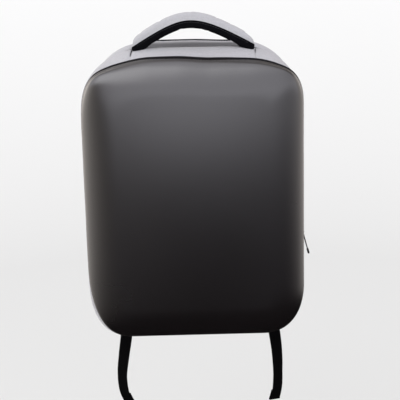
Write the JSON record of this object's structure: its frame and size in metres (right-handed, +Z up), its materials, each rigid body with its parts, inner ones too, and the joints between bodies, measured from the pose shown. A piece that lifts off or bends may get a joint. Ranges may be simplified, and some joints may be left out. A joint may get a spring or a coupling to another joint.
{
  "type": "cycling backpack",
  "caption": "Slim backpack with a smooth domed front panel, soft cloth sides, an arched padded carry handle, a side zip, padded shoulder straps and hanging webbing tails.",
  "frame": {"origin": "underside of the carry handle at its highest point, where the bag hangs", "axes": "+X to the right seen from the front panel, +Y from the front panel to the back, +Z up"},
  "size_m": [0.3207, 0.2222, 0.6274],
  "materials": {
    "panel": "smooth satin skin over moulded foam",
    "piping": "smooth soft cord",
    "grey_cloth": "fine woven light grey cloth",
    "zip_cloth": "mid grey coated zip tape",
    "black_cloth": "black padded woven cloth",
    "webbing": "black ribbed webbing",
    "hard_plastic": "moulded black plastic",
    "dark_metal": "dark coated zip slider"
  },
  "bodies": {
    "bag": {"front_shell": "panel", "front_piping": "piping", "top_strip": "grey_cloth", "front_gusset": "grey_cloth", "zip_tape": "zip_cloth", "base_strip": "grey_cloth", "zip_coil": "hard_plastic", "rear_gusset": "grey_cloth", "rear_piping": "piping", "back_panel": "black_cloth", "handle_upper": "grey_cloth", "handle_lower": "black_cloth", "strap_left": "black_cloth", "lock_left": "hard_plastic", "webbing_left": "webbing", "strap_right": "black_cloth", "lock_right": "hard_plastic", "webbing_right": "webbing", "zip_slider": "dark_metal"},
    "puller": {"zip_pull": "hard_plastic"}
  },
  "joints": [
    {"name": "pull_swing", "type": "hinge", "parent": "bag", "child": "puller", "pos_m": [0.15632, 0.026, -0.3], "axis": [0, -1, 0], "range_deg": [-13, 130]}
  ]
}
